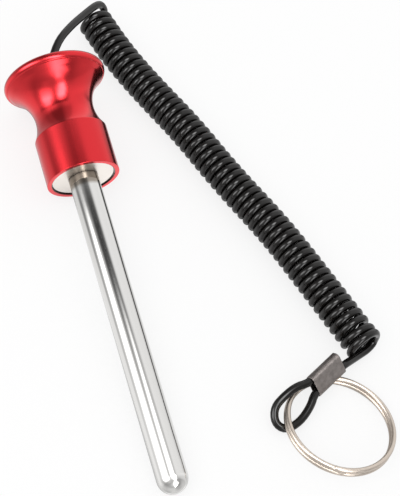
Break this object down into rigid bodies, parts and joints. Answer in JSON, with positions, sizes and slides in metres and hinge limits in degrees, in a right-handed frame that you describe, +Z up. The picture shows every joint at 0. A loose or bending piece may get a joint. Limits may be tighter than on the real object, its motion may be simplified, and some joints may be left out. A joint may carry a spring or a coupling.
{
  "type": "weight stack pin",
  "caption": "Selector pin for a weight stack: steel pin with a flared knob and ring magnet, on a coiled cord that ends in a crimped loop and a split ring.",
  "frame": {"origin": "on the floor, under the middle of the knob and pin, which lie on the rim and the tip", "axes": "+Z up; the pin's axis lies over the Y axis, with its tip toward -Y and rising about 5 degrees toward the knob"},
  "size_m": [0.0962, 0.1816, 0.0329],
  "materials": {
    "knob_red": "red anodised, satin",
    "pin_steel": "polished",
    "magnet_nickel": "nickel plated, bright",
    "stop_metal": "plain",
    "cord_black": "smooth, glossy black",
    "ferrule_metal": "satin",
    "ring_nickel": "nickel plated, bright"
  },
  "bodies": {
    "lanyard": {"cord_stop": "stop_metal", "cord_lead": "cord_black", "cord_coil": "cord_black", "cord_tail": "cord_black", "ferrule": "ferrule_metal"},
    "selector": {"knob": "knob_red", "pin": "pin_steel", "magnet": "magnet_nickel"},
    "ring": {"key_ring": "ring_nickel"}
  },
  "joints": [
    {"name": "knob_swivel", "type": "hinge", "parent": "lanyard", "child": "selector", "pos_m": [0, 0.03225, 0.01333], "axis": [0, 0.9962, 0.0866], "continuous": true},
    {"name": "ring_turn", "type": "hinge", "parent": "lanyard", "child": "ring", "pos_m": [0.0566, -0.06158, 0.00471], "axis": [0.0833, 0.1573, 0.984], "continuous": true}
  ]
}
